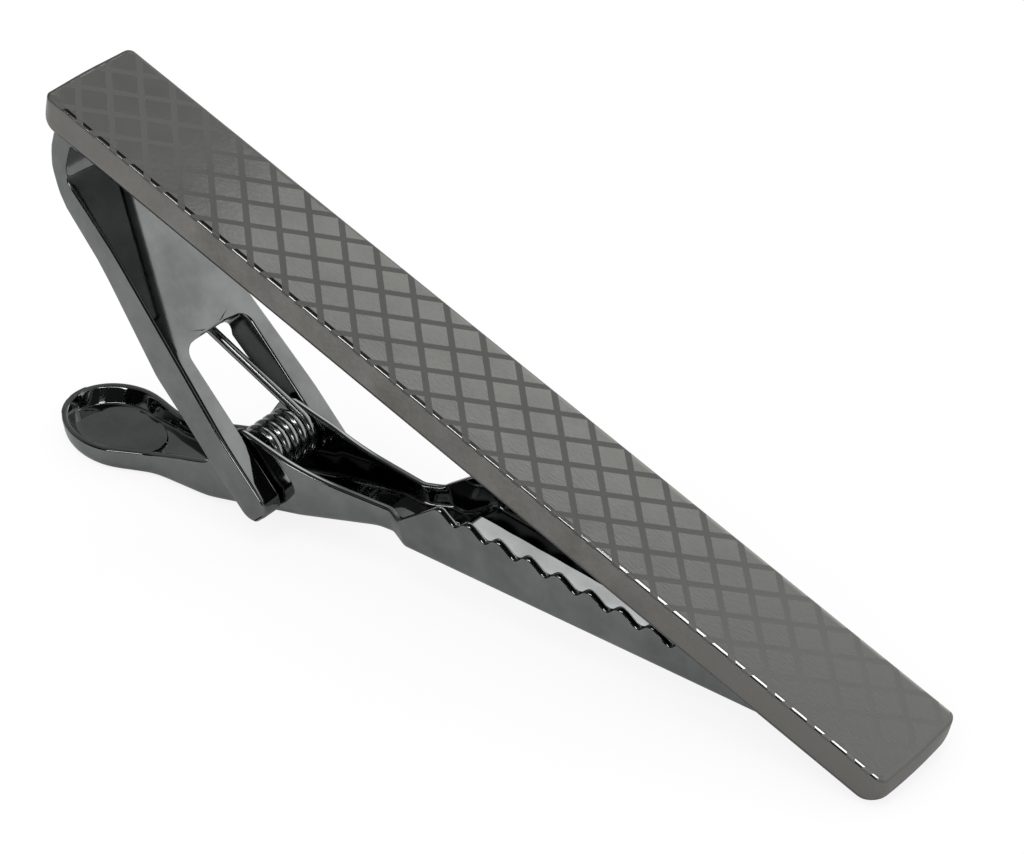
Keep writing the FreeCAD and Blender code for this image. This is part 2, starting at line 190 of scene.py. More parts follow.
level_cuts = (0.42, 0.6, 0.8, 1.05, 1.3)
lengthwise_cuts = (-1.5, -0.75, 0, 0.75, 1.5)
for drop in level_cuts:
    bpy.ops.mesh.select_all(action="SELECT")
    cut((0, 0, -drop), (0, 0, 1))
for across in lengthwise_cuts:
    bpy.ops.mesh.select_all(action="SELECT")
    cut((0, across, 0), (0, 1, 0))
face_corner, corner_depth = 0.28, 1.3
end_bulge, bulge_depth = 0.27, 2.1
end_crown, crown_half = 0.1, 2.6
end_trims = {-1: 0.07, 1: 0.12}
far_side, far_from = 0.12, 2
hair = 0.001
bar_mesh = bmesh.from_edit_mesh(bar.data)
for vertex in bar_mesh.verts:
    x, y, depth = vertex.co.x / mm, vertex.co.y / mm, -vertex.co.z / mm
    from_end = min(x, bar_length - x)
    outward = -1 if x < bar_middle else 1
    share = min(depth / corner_depth, 1)
    tight = face_corner + (corner_round - face_corner) * share * (2 - share)
    bulge = end_bulge * math.sin(math.pi * min(depth / bulge_depth, 1))
    bulge += end_crown * max(1 - (y / crown_half) ** 2, 0) - end_trims[outward]
    if from_end < corner_round + hair and abs(y) > bar_half - corner_round - hair:
        ahead = (corner_round - from_end) / corner_round
        aside = (abs(y) - bar_half + corner_round) / corner_round
        from_end = tight - tight * ahead
        vertex.co.y = math.copysign(bar_half - tight + tight * aside, y) * mm
    pushed = from_end - bulge * max(1 - from_end / corner_round, 0)
    vertex.co.x = (pushed if outward < 0 else bar_length - pushed) * mm
    if y > far_from:
        vertex.co.y += far_side * mm
bmesh.update_edit_mesh(bar.data)
print("ends bulge by", end_bulge, "mm in depth and", end_crown, "mm across")

# %% Round edge of the face
face_round = 0.2
support = 0.03
bpy.ops.mesh.select_all(action="SELECT")
bpy.ops.mesh.normals_make_consistent(inside=False)
pick(bar, "EDGE", lambda e: bends(e, lambda n: n.z > 0.99, lambda n: n.z < 0.99))
bevel(face_round, 6)
for side in (-1, 1):
    pick(bar, "FACE", lambda f: f.normal.z > 0.99)
    cut((0, side * (bar_half - support - face_round), 0), (0, 1, 0))
    pick(bar, "FACE", lambda f: f.normal.z > 0.99)
    cut((bar_middle + side * (bar_middle - support - face_round), 0, 0), (1, 0, 0))
start_clean()
report_piece(bar)

# %% [markdown]
# ## The crosshatched face
# Two families of matte lines cross on the face and leave polished diamonds between them. The lines have no depth
# that shows, but they run over the round edge and break its bright line into dashes. So they are not dug out. Both
# sides of every line are cut into the face and its round edge, as with a marking knife, and the faces that lie on a
# line get a finish of their own.

# %% Mark the lines
line_pitch = 2.36
line_angle = math.radians(42.55)
line_width = 0.33
first_crossing = 1.776 - 2 * line_pitch
crossing_y = -0.12
line_count = 27


def on_face(face_normal, centre):
    """True for the flat of the face and for its round edge."""
    return face_normal.z > 0.05 and centre.z > -(face_round + support) * mm


take(bar)
bpy.ops.object.mode_set(mode="EDIT")
for lean in (-1, 1):
    across = (math.sin(line_angle), -lean * math.cos(line_angle), 0)
    for index in range(line_count):
        for half in (-line_width / 2, line_width / 2):
            shift = half / math.sin(line_angle)
            pick(bar, "FACE", lambda f: on_face(f.normal, f.calc_center_median()))
            cut((first_crossing + index * line_pitch + shift, crossing_y, 0), across)
start_clean()
print("lines marked:", 2 * line_count)

# %% [markdown]
# ## The seat under the bar
# The folded strip's tongue is soldered into a shallow seat in the bar's underside. It is out of sight in the
# photograph, but a clip is also looked at from behind, so the seat is cut here too.

# %% Seat for the tongue
seat_middle, seat_size = (6.8, 0, -2.0), (11.9, 4.5, 0.8)
start_clean()
bpy.ops.mesh.primitive_cube_add(size=1, location=[value * mm for value in seat_middle],
                                scale=[value * mm for value in seat_size])
seat = bpy.context.object
bpy.ops.object.transform_apply(location=True, rotation=True, scale=True)
apply_modifier(bar, "BOOLEAN", object=seat, operation="DIFFERENCE", solver="EXACT")
bpy.data.objects.remove(seat)
print("faces of the bar with its seat:", len(bar.data.polygons))

# %% [markdown]
# ## Which faces get which finish
# The bar carries four finishes: bright cells, brushed sides, matte lines and a back painted dark as shade. They are
# kept apart by face, chosen by place and normal while the bar still lies straight in its own frame. Round both ends
# the edge of the face is worn, so there it is matte all along.

# %% Sort the bar's faces by finish
CELL, SIDE, LINE, SHADE_BACK = range(4)
counts = [0, 0, 0, 0]
bright_from, bright_to = 1.6, 53.6
back_level = -1.2
line_gap = line_pitch * math.sin(line_angle)


def from_line(centre, lean):
    """Distance in mm from the nearest line of one family, seen from above."""
    along = (centre.x / mm - first_crossing) * math.sin(line_angle)
    offset = along - lean * (centre.y / mm - crossing_y) * math.cos(line_angle)
    return abs((offset + line_gap / 2) % line_gap - line_gap / 2)


for face in bar.data.polygons:
    if on_face(face.normal, face.center):
        nearest = min(from_line(face.center, -1), from_line(face.center, 1))
        worn = not bright_from < face.center.x / mm < bright_to and face.normal.z < 0.999
        finish = LINE if worn or nearest < line_width / 2 else CELL
    # The underside is painted near black: painted shade, because it lies in shadow and its reflection in the strip is
    # dark.
    elif face.center.z < back_level * mm and face.normal.z < -0.3:
        finish = SHADE_BACK
    else:
        finish = SIDE
    face.material_index = finish
    counts[finish] += 1
take(bar)
bpy.ops.object.shade_smooth_by_angle(angle=math.radians(24))
lay(bar, bar_place)
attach(bar, "clip_frame")
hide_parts("face_bar")
report_piece(bar)
print("faces of each finish:", counts)

# %% [markdown]
# ## Outlines
# The strip and the lever are stamped sheet, and their outlines are short straight lines with rounded corners. Two
# small functions draw such an outline and read its height at any place along it.

# %% Outlines with rounded corners
def rounded(corners, steps=8):
    """Points along a line of (x, z, radius) corners, each rounded by its radius."""
    points = [Vector(corners[0][:2])]
    for before, here, after in zip(corners, corners[1:], corners[2:]):
        corner = Vector(here[:2])
        back = (Vector(before[:2]) - corner).normalized()
        ahead = (Vector(after[:2]) - corner).normalized()
        half = back.angle(ahead) / 2
        if here[2] == 0:
            points.append(corner)
            continue
        middle = corner + (back + ahead).normalized() * here[2] / math.sin(half)
        first = corner + back * here[2] / math.tan(half) - middle
        last = corner + ahead * here[2] / math.tan(half) - middle
        for step in range(steps + 1):
            points.append(middle + first.lerp(last, step / steps).normalized() * here[2])
    return points + [Vector(corners[-1][:2])]


def at(points, x):
    """Height of an outline at x, read between its two nearest points."""
    for one, two in zip(points, points[1:]):
        if one.x <= x <= two.x and two.x > one.x:
            return one.y + (two.y - one.y) * (x - one.x) / (two.x - one.x)
    return points[0].y if x < points[0].x else points[-1].y


# %% [markdown]
# ## The folded back strip
# Behind the bar a strip folds back on itself, slopes away and widens into a fork whose two legs hold the pin. On the
# real clip it is stamped flat and then bent, with its two long edges turned down so that it stays stiff. It is made
# in that order here: half of the flat plan is a grid whose rows are placed along the slope, the window is taken out,
# a mirror gives the other half, and an extrude gives the thickness.

# %% Rows of the flat plan
strip_start = 1.2
window_top = 10.3
window_half = 2.2
window_round = 0.8
leg_end = 19.85
tip_round = 0.9
bend_half, fork_gain = 2.8, 0.72
widening = (4.5, 15.5)


def ramp(value, start, end):
    """Nought before the start, one after the end, and even between."""
    return min(max((value - start) / (end - start), 0), 1)


def plate_half(reach):
    """Half the width of the strip: narrow at the bend, wider towards the fork."""
    return bend_half + fork_gain * ramp(reach, *widening)


def window_edge(reach):
    """Half the width of the window's opening, with its round corner."""
    into = min(reach - window_top, window_round)
    return window_half - window_round + math.sqrt(max(window_round**2 - (window_round - into) ** 2, 0))


reaches = [strip_start, 2.5, 3.0, 4.2, 5.4] + [6 + 3.4 * i / 8 for i in range(9)] + [9.8]
reaches += [window_top + window_round * (1 - math.cos(math.radians(15 * i))) for i in range(7)]
reaches += [12, 13, 14, 15, 15.7, 17, 18.2]
sinks = [0] * len(reaches)
for turn in range(0, 71, 14):
    reaches.append(leg_end - tip_round + tip_round * math.sin(math.radians(turn)))
    sinks.append(tip_round - tip_round * math.cos(math.radians(turn)))


def grid_piece(name, rows):
    """Add a grid and put each row of its points in place, in mm."""
    start_clean()
    down, over = len(rows) - 1, len(rows[0]) - 1
    bpy.ops.mesh.primitive_grid_add(x_subdivisions=over, y_subdivisions=down, size=2)
    piece = bpy.context.object
    piece.name = name
    for vertex in piece.data.vertices:
        row = round((vertex.co.y + 1) / 2 * down)
        column = round((vertex.co.x + 1) / 2 * over)
        vertex.co = Vector(rows[row][column]) * mm
    return piece


rows = []
for reach, sink in zip(reaches, sinks):
    inner = window_edge(max(reach, window_top))
    outer = plate_half(reach)
    ways = [0, inner / 2] + [inner + (outer - inner) * i / 4 for i in range(5)]
    rows.append([(reach, way, -sink) for way in ways])
strip = grid_piece("folded_strip", rows)
print("rows along the strip:", len(rows))

# %% [markdown]
# ## Window, thickness and fold
# The faces of the window are deleted, the half is mirrored, and the sheet is extruded down. The turned edges go
# deeper than the sheet between them. The end faces at the top of the slope are then spun round the axis of the bend,
# as the press folds the strip.

# %% Stamp the window and thicken the sheet
strip_sheet, sheet_gain = 0.8, 0.6
thickening, hollowing = (2.5, 9), (2.55, 2.95)
turned_from = 0.55
flank = rounded([(0, 1.3, 0), (4.8, 1.58, 3), (10.8, 2.2, 3), (14.8, 1.86, 2), (21, 1.82, 0)])


def back_depth(reach, way):
    """Depth of the strip's back: the sheet in the middle, the turned edge at the sides."""
    sheet_depth = strip_sheet + sheet_gain * ramp(reach, *thickening)
    inner, outer = window_edge(max(reach, window_top)), plate_half(reach)
    hollow = ramp(reach, *hollowing) * ramp(reach, window_top + window_round, window_top)
    if abs(way) > inner + turned_from * (outer - inner):
        hollow = 0
    edge_depth = at(flank, reach)
    return edge_depth + (sheet_depth - edge_depth) * hollow


bpy.ops.object.mode_set(mode="EDIT")
holes = pick(strip, "FACE", lambda f: f.calc_center_median().x > window_top * mm and all(
    v.co.y <= (window_edge(v.co.x / mm) + hair) * mm for v in f.verts))
bpy.ops.mesh.delete(type="FACE")
apply_modifier(strip, "MIRROR", use_axis=(False, True, False), use_mirror_merge=True, merge_threshold=1e-6)
bpy.ops.object.mode_set(mode="EDIT")
bpy.ops.mesh.select_all(action="SELECT")
bpy.ops.mesh.extrude_region_move(TRANSFORM_OT_translate={"value": (0, 0, -strip_sheet * mm)})
sheet_mesh = bmesh.from_edit_mesh(strip.data)
for vertex in sheet_mesh.verts:
    if vertex.select:
        sink = -(vertex.co.z / mm + strip_sheet)
        vertex.co.z = (sink - back_depth(vertex.co.x / mm, vertex.co.y / mm)) * mm
bmesh.update_edit_mesh(strip.data)
bpy.ops.mesh.select_all(action="SELECT")
bpy.ops.mesh.normals_make_consistent(inside=False)
print("window faces taken out:", holes)

# %% Fold the bend
bend_radius = 1.0
bend_turn = math.pi - plate_slope
bend_steps = 16
ends = pick(strip, "FACE", lambda f: f.normal.x < -0.9 and f.calc_center_median().x < (strip_start + 0.01) * mm)
bpy.ops.mesh.spin(steps=bend_steps, angle=-bend_turn, center=(strip_start * mm, 0, bend_radius * mm),
                  axis=(0, 1, 0), dupli=False)
lay(strip, plate_in_bar)
bpy.ops.object.mode_set(mode="EDIT")
print("end faces folded:", ends)

# %% [markdown]
# ## The upright behind the bar's end
# A press does not leave an even round. On the real clip the inside of the fold is tight and then stands straight up
# to the bar, and its outside is one long curve. So the rings of the spun bend are drawn onto two outlines, one for
# the inside and one for the outside. The end is then narrowed and extruded into the tongue, which lies in the bar's
# seat. A Bevel modifier softens every sharp edge, because a polished strip has no sharp ones.

# %% Draw the bend onto its outlines
bend_centre = plate_in_bar @ (Vector((strip_start, 0, bend_radius)) * mm)
slope_start = plate_in_bar @ (Vector((strip_start, 0, 0)) * mm)
back_start = plate_in_bar @ (Vector((strip_start, 0, -back_depth(strip_start, 0))) * mm)
tongue_x, tongue_low, tongue_high = 2.6, -2.15, -1.65
tongue_width, tongue_length, shoulder = 4.4, 9.95, 0.1
inside = rounded([(slope_start.x / mm, slope_start.z / mm, 0), (2.05, -4.187, 1.1), (2.05, tongue_low, 0.1),
                  (tongue_x, tongue_low, 0)])
outside = rounded([(back_start.x / mm, back_start.z / mm, 0), (1.94, -5.38, 1.5), (1.14, -4.14, 2.0),
                   (0.86, -2.98, 2.0), (0.86, tongue_high, 0.2), (tongue_x, tongue_high, 0)])


def along(points, share):
    """The place at this share of an outline's length."""
    lengths = [(two - one).length for one, two in zip(points, points[1:])]
    left = share * sum(lengths)
    for one, two, length in zip(points, points[1:], lengths):
        if left <= length and length > 0:
            return one.lerp(two, left / length)
        left -= length
    return points[-1]


shape = bmesh.from_edit_mesh(strip.data)
first_way = (slope_start - bend_centre).normalized()
for vertex in shape.verts:
    way = vertex.co - bend_centre
    way.y = 0
    turn = math.atan2(first_way.z * way.x - first_way.x * way.z, first_way.x * way.x + first_way.z * way.z)
    ring = round(turn % (2 * math.pi) / bend_turn * bend_steps, 2)
    if ring == round(ring) and 1 <= ring <= bend_steps and way.length < 2.6 * bend_radius * mm:
        drawn = along(inside if way.length < 1.1 * bend_radius * mm else outside, ring / bend_steps)
        vertex.co.x, vertex.co.z = drawn.x * mm, drawn.y * mm
bmesh.update_edit_mesh(strip.data)
tongue_end = pick(strip, "FACE", lambda f: abs(f.calc_center_median().x / mm - tongue_x) < 0.01
                  and tongue_low < f.calc_center_median().z / mm < tongue_high)
bpy.ops.mesh.extrude_region_move(TRANSFORM_OT_translate={"value": (shoulder * mm, 0, 0)})
bpy.ops.mesh.extrude_region_move(TRANSFORM_OT_translate={"value": (0, 0, 0)})
bpy.ops.transform.resize(value=(1, tongue_width / (2 * bend_half), 1), center_override=(tongue_x * mm, 0, 0))
bpy.ops.mesh.extrude_region_move(TRANSFORM_OT_translate={"value": (tongue_length * mm, 0, 0)})
print("faces drawn out into the tongue:", tongue_end)

# %% Soften the edges
edge_round = 0.16
bpy.ops.mesh.select_all(action="SELECT")
bpy.ops.mesh.remove_doubles(threshold=1e-7)
bpy.ops.mesh.normals_make_consistent(inside=False)
apply_modifier(strip, "BEVEL", width=edge_round * mm, segments=4, limit_method="ANGLE",
               angle_limit=math.radians(40), use_clamp_overlap=False)
bpy.ops.object.shade_smooth_by_angle(angle=math.radians(35))
lay(strip, bar_place)
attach(strip, "clip_frame")
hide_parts("back_bracket")
report_piece(strip)

# %% [markdown]
# ## The lever
# One stamping makes the whole lever: a dished thumb pad, a channel with tall walls at the pin, a narrow neck and a
# jaw with scalloped edges. It is a channel all the way, so it can be drawn as one row of sections. Each section is
# the same closed line: up the outside, over the rim, down the inside, and back the same way on the other side. Only
# its widths and heights change.

# %% Underside and rim
pad_nose = -16.12
jaw_tip = 31.1
sheet = 0.4
underside = rounded([(pad_nose, -1.52, 0), (-8.6, -2.66, 6), (-4.2, -3.2, 6), (7.6, -2.62, 3),
                     (jaw_tip, -7.65, 0)])
rim = rounded([(pad_nose, -0.45, 0), (-8.5, -1.3, 3), (-3.4, -0.85, 1.5), (-0.7, 1.75, 0.8), (4.0, -0.3, 18),
               (8.6, -1.35, 1), (9.5, -1.55, 0.5), (12.6, -0.12, 0.5), (27.7, -4.8, 2), (jaw_tip, -6.75, 0)])
print("points on the underside and rim:", len(underside), len(rim))

# %% Widths of the pad, neck and jaw
channel_half = 2.05
pad_middle, pad_half, neck_half = -12.3, 2.9, 1.97
side_line = []
for turn in range(0, 91, 3):
    ahead, wide = math.cos(math.radians(turn)), math.sin(math.radians(turn))
    side_line.append(Vector((pad_middle + (pad_nose - pad_middle) * ahead, pad_half * wide)))
for step in range(1, 21):
    left = 0.5 + 0.5 * math.cos(math.pi * step / 20)
    side_line.append(Vector((pad_middle + 0.21 * step, neck_half + (pad_half - neck_half) * left)))
side_line += rounded([(-7.5, neck_half, 0), (-5, channel_half, 4), (2.5, channel_half, 6), (8.6, 1.5, 0.6),
                      (9.8, 2.1, 0.5), (jaw_tip, 1.85, 0)], 20)


def half_width(x, inset):
    """Half the width of the lever at x, or of its hollow where the inset is the sheet's thickness."""
    return at(side_line, x) - inset if x > pad_nose else -inset


def hollow_half(x):
    """Half the width of the hollow: every point of the outside is at least one sheet away."""
    best = half_width(x, sheet)
    for step in range(-8, 9):
        away = sheet * step / 8
        best = min(best, half_width(x + away, math.sqrt(max(sheet**2 - away**2, 0))))
    return max(best, 0)


print("half widths at pad, pin, neck and jaw:", [round(half_width(x, 0), 2) for x in (-11, 0, 8.7, 12)])

# %% [markdown]
# ## Teeth
# The jaw's two edges are cut in an even wave, and its crests are the teeth that hold the cloth. The rim's height is
# simply lowered by a cosine along that stretch.

# %% Wavy rim
tooth_count = 8
tooth_pitch = 1.77
tooth_depth = 0.52
first_peak = 12.665


def rim_height(x):
    """Height of the lever's rim at x, with its waves along the jaw."""
    height = at(rim, x)
    teeth = (x - first_peak) / tooth_pitch
    if 0 < teeth < tooth_count:
        height -= tooth_depth / 2 * (1 - math.cos(2 * math.pi * teeth))
    return height


print("waves on each edge:", tooth_count)

# %% [markdown]
# ## Sections of the lever
# Every section has the same number of points, so a grid can be laid along them, rolled up where its last column
# meets its first, and closed at both ends. The corner outside is rounder than the one inside, as in bent sheet, and
# the rim has a small round edge that catches the light. The press has left marks that the sections follow. The pad
# is dished round a flat disc and set askew, the floor is lifted on one side where the pad begins, and the floor of
# the jaw has a crease along its middle and falls away beyond it. For each mark, a pair of places along the lever says
# where it begins and where it is full.

# %% Corners, floor and disc
pad_drop, jaw_drop = 0.78, 1.4
disc_reach, disc_half = 3.15, 1.9
widest_share, floor_share = 0.9, 0.19
jaw_floor, dish_floor = (10.6, 13.2), (-9.8, -11.4)


def quarter(y, z, radius, first, last, steps):
    """Points of a rounded corner about (y, z), between two angles in degrees."""
    turns = [math.radians(first + (last - first) * i / steps) for i in range(steps + 1)]
    return [(y + radius * math.cos(turn), z + radius * math.sin(turn)) for turn in turns]


def floor_heights(x, low, top):
    """Height of the floor beside the walls and in the middle, where the pad has a raised round disc."""
    channel = low + sheet
    raised = max(channel, at(rim, x) - jaw_drop)
    channel += (raised - channel) * ramp(x, *jaw_floor)
    dish = at(rim, x) - pad_drop
    beside = channel + (dish - channel) * ramp(x, *dish_floor)
    middle = dish if x < pad_middle + disc_reach else channel
    return min(beside, top - 0.02), min(middle, top - 0.02)


def disc_width(x, flat):
    """Half the width of the disc at x, or of the part of the floor that runs on from it."""
    if x < pad_middle:
        wide = flat / 2
    elif x > pad_middle + disc_reach:
        wide = floor_share * flat
    else:
        wide = disc_half * math.sqrt(max(1 - ((x - pad_middle) / disc_reach) ** 2, 0.0001))
    return min(wide, widest_share * flat)


print("disc of the pad in mm:", 2 * disc_half, "wide")

# %% One section
nose_round, outside_round, inside_round, lip_round = 0.55, 0.45, 0.22, 0.13
solid_tip = 1.2
pad_slant, pad_skew, skew_rise = 0.42, 0.27, 0.16
slanting_from, skewing_from = (-9.4, -11), (-5.5, -9.5)
crease_fall, neck_lift = 0.3, 0.45
fall_start, fall_end = (11.5, 13.5), (29.4, 28)
lift_start, lift_end = (-9.1, -8.4), (-5.4, -6.6)


def section(x):
    """Closed line round the sheet at x: outside, rim, inside, and back by the other side."""
    width = max(half_width(x, 0), 0.02)
    hollow = hollow_half(x)
    low, top = at(underside, x), rim_height(x)
    nose = x - pad_nose
    if nose < nose_round:
        low += nose_round - math.sqrt(max(nose_round**2 - (nose_round - nose) ** 2, 0))
    beside, middle = floor_heights(x, low, top)
    if hollow < 0.06 or x > jaw_tip - solid_tip:
        hollow, beside, middle = width * 0.6, top - 0.012, top - 0.012
    dished = ramp(x, *slanting_from)
    outer = min(outside_round, 0.9 * width, 0.45 * (top - low))
    inner = min(inside_round - 0.1 * dished, 0.4 * hollow, 0.6 * (top - beside))
    slant = min(pad_slant * dished, 0.4 * hollow)
    lip = min(lip_round, 0.4 * (width - hollow), 0.35 * (top - beside))
    flat = hollow - slant - inner
    disc = disc_width(x, flat)
    fall = crease_fall * ramp(x, *fall_start) * ramp(x, *fall_end)
    lift = neck_lift * ramp(x, *lift_start) * ramp(x, *lift_end)
    halves = []
    for level in (beside - fall, beside + lift):
        half = quarter(width - outer, low + outer, outer, -90, 0, 5)
        half += quarter(width - lip, top - lip, lip, 0, 90, 3)
        half += quarter(hollow + lip, top - lip, lip, 90, 180, 3)
        half += quarter(flat, level + inner, inner, 0, -90, 4)
        step = level if x < pad_middle + disc_reach else middle + 0.05 * (level - middle)
        halves.append(half + [(disc + 0.04 * flat, step), (disc, middle), (0.9 * disc, middle)])
    loop = [(0, low)] + halves[0] + [(0, middle)] + [(-y, z) for y, z in reversed(halves[1])]
    skew = pad_skew * ramp(x, *skewing_from)
    return [(x - skew * y, y, z + skew_rise * skew * y) for y, z in loop + loop[:1]]


# %% Where the sections stand
stations = [pad_nose + 3.4 * (1 - math.cos(math.radians(4 * i))) for i in range(1, 23)]
stations += [pad_nose + 0.43, pad_nose + 0.47]
stations += [pad_nose + 3.4 + 0.2 * i for i in range(1, 109)]
stations += [-9.5 + 0.04 * i for i in range(10)]
stations += [8.9 + 0.1 * i for i in range(1, 196)]
stations += [28.5 + 0.2 * i for i in range(1, 6)] + [29.88, 29.92, 30.3, 30.7, jaw_tip]
stations = sorted(set(round(x, 4) for x in stations))
print("sections:", len(stations), "with", len(section(0)) - 1, "points each")

# %% Roll the lever
def close_up(piece):
    """Join the rolled grid along its seam, close both ends and turn its faces outwards."""
    bpy.ops.object.mode_set(mode="EDIT")
    bpy.ops.mesh.select_all(action="SELECT")
    bpy.ops.mesh.remove_doubles(threshold=2e-7)
    pick(piece, "EDGE", lambda e: e.is_boundary)
    bpy.ops.mesh.fill_holes(sides=0)
    bpy.ops.mesh.select_all(action="SELECT")
    bpy.ops.mesh.normals_make_consistent(inside=False)
    start_clean()


lever = grid_piece("jaw_and_pad_lever", [section(x) for x in stations])
close_up(lever)
hole_radius = 0.45
bpy.ops.mesh.primitive_cylinder_add(vertices=32, radius=hole_radius * mm, depth=8 * mm,
                                    rotation=(math.pi / 2, 0, 0))
drill = bpy.context.object
bpy.ops.object.transform_apply(location=True, rotation=True, scale=True)
apply_modifier(lever, "BOOLEAN", object=drill, operation="DIFFERENCE", solver="EXACT")
bpy.data.objects.remove(drill)
take(lever)
bpy.ops.object.shade_smooth_by_angle(angle=math.radians(40))
lay(lever, lever_place)
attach(lever, "lever")
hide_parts("jaw_lever")
report_piece(lever)

# %% [markdown]
# ## The spring
# A torsion spring is wound from one wire: an arm under the strip, a few close turns round the pin and an arm on the
# lever's floor. A circle the size of the wire is turned and carried along by a Screw modifier. The two open ends of
# the coil are then extruded into the straight arms. Each arm leaves the coil as a tangent, so its direction follows
# from the coil's radius and from the place that it presses on.

# %% Where the arms reach
wire, gap = 0.27, 0.05
coil_outside = 1.5
coil = coil_outside - wire
touch = wire + gap
pin_reach, pin_sink = 17, 0.7
hold_over = 1.1
push_reach = -5.5
edge_x, edge_z = window_top - pin_reach, pin_sink - strip_sheet - sheet_gain
reach_to_edge = math.hypot(edge_x, edge_z)
dip = math.asin((coil + touch) / reach_to_edge) + math.atan2(-edge_z, -edge_x)
plate_turn = Matrix.Rotation(table_tilt + plate_slope, 3, "Y")
lever_turn = Matrix.Rotation(table_tilt - lever_tilt, 3, "Y")
hold_way = plate_turn @ Vector((-math.cos(dip), 0, -math.sin(dip)))
hold_up = plate_turn @ Vector((-math.sin(dip), 0, math.cos(dip)))
hold_length = reach_to_edge * math.cos(math.asin((coil + touch) / reach_to_edge)) + hold_over
push = Vector((push_reach, 0, at(underside, push_reach) + sheet + touch))
fall = math.atan2(-push.z, -push.x) - math.asin(coil / push.length)
push_way = lever_turn @ Vector((-math.cos(fall), 0, -math.sin(fall)))
push_up = lever_turn @ Vector((-math.sin(fall), 0, math.cos(fall)))
push_length = math.sqrt(push.length**2 - coil**2)
hold_lean = Vector((0, -0.35, 0))
print("arms in mm:", round(hold_length, 2), "and", round(push_length, 2))

# %% Wind the coil and draw out its arms
whole_turns = 4
start_angle = math.atan2(hold_up.z, hold_up.x)
end_angle = math.atan2(-push_up.z, -push_up.x)
sweep = (start_angle - end_angle) % (2 * math.pi) + whole_turns * 2 * math.pi
half_span = channel_half - sheet - gap - wire
start_clean()
bpy.ops.mesh.primitive_circle_add(vertices=14, radius=wire * mm)
spring = bpy.context.object
spring.name = "torsion_coil"
ring_place = Matrix.Translation(hold_up * coil * mm + Vector((0, half_span * mm, 0)))
lay(spring, ring_place @ Matrix((hold_up, (0, 1, 0), hold_way)).transposed().to_4x4())
apply_modifier(spring, "SCREW", axis="Y", angle=sweep, screw_offset=-2 * half_span * mm, iterations=1,
               steps=120, render_steps=120, use_merge_vertices=False)
bpy.ops.object.mode_set(mode="EDIT")
arms = ((1, hold_way * hold_length + hold_lean), (-1, push_way * push_length))
for side_way, arm in arms:
    pick(spring, "EDGE", lambda e: e.is_boundary and all(v.co.y * side_way > 0 for v in e.verts))
    for share in (0.5, 0.5):
        bpy.ops.mesh.extrude_region_move(TRANSFORM_OT_translate={"value": arm * share * mm})
    bpy.ops.mesh.edge_face_add()
bpy.ops.mesh.select_all(action="SELECT")
bpy.ops.mesh.normals_make_consistent(inside=False)
take(spring)
bpy.ops.object.shade_smooth_by_angle(angle=math.radians(50))
lay(spring, Matrix.Translation(pin_centre))
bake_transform(spring)
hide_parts("torsion_spring")
report_piece(spring)
print("turns of wire:", round(sweep / (2 * math.pi), 2))

# %% [markdown]
# ## Shader maths in plain Python
# Each finish mixes a few noises. To keep the sums readable, a small class wraps a node's output, and Python's own
# operators then add the Math nodes. One more function adds any other node: its settings first, then its sockets.

# %% Signals and nodes
class Signal:
    """A node's output that can be used in sums with numbers and other signals."""

    def __init__(self, tree, socket):
        self.tree = tree
        self.socket = socket

    def sum(self, operation, first, second):
        """Add the Math node of one operation."""
        return add_node(self.tree, "ShaderNodeMath", {"operation": operation}, {0: first, 1: second})

    def __add__(self, other):
        return self.sum("ADD", self, other)

    def __radd__(self, other):
        return self.sum("ADD", other, self)

    def __sub__(self, other):
        return self.sum("SUBTRACT", self, other)

    def __rsub__(self, other):
        return self.sum("SUBTRACT", other, self)

    def __mul__(self, other):
        return self.sum("MULTIPLY", self, other)

    def __rmul__(self, other):
        return self.sum("MULTIPLY", other, self)


def add_node(tree, kind, settings, sockets, output=0):
    """Add a node, set it up, fill or link its sockets, and return one of its outputs."""
    node = tree.nodes.new(kind)
    for name, value in settings.items():
        setattr(node, name, value)
    for name, value in sockets.items():
        if isinstance(value, Signal):
            tree.links.new(value.socket, node.inputs[name])
        else:
            node.inputs[name].default_value = value
    return Signal(tree, node.outputs[output])


# %% [markdown]
# ## Parts that the finishes share
# Every finish starts from an empty node tree and ends in one shader. Between them it needs noises, mixes of two greys
# and smooth changes from one value to another, so each of these is a function of its own.

# %% Trees, noises, mixes and fades
def new_tree(name):
    """A fresh material with an empty node tree."""
    material = bpy.data.materials.new(name)
    material.use_nodes = True
    material.node_tree.nodes.clear()
    return material, material.node_tree


def metal(tree, colour, roughness, normal):
    """Close a metal's tree with a Principled shader."""
    surface = add_node(tree, "ShaderNodeBsdfPrincipled", {}, {"Metallic": 1.0, "Base Color": colour,
                                                               "Roughness": roughness, "Normal": normal})
    end = tree.nodes.new("ShaderNodeOutputMaterial")
    tree.links.new(surface.socket, end.inputs["Surface"])


def noise(tree, place, scale, detail, roughness=0.5):
    """A noise at a place on the piece: the scale is in waves to a metre."""
    looks = {"Scale": scale, "Detail": detail, "Roughness": roughness}
    return add_node(tree, "ShaderNodeTexNoise", {}, {"Vector": place, **looks})


def mixed(tree, share, first, second):
    """Colour between two greys, of which either may be a signal."""
    greys = [grey if isinstance(grey, Signal) else (*grey, 1) for grey in (first, second)]
    return add_node(tree, "ShaderNodeMix", {"data_type": "RGBA"}, {0: share, 6: greys[0], 7: greys[1]}, 2)


def fade(tree, value, start, end, low, high):
    """A smooth change from low to high while the value goes from start to end."""
    limits = {"From Min": start, "From Max": end, "To Min": low, "To Max": high}
    smooth = {"interpolation_type": "SMOOTHSTEP"}
    return add_node(tree, "ShaderNodeMapRange", smooth, {"Value": value, **limits})
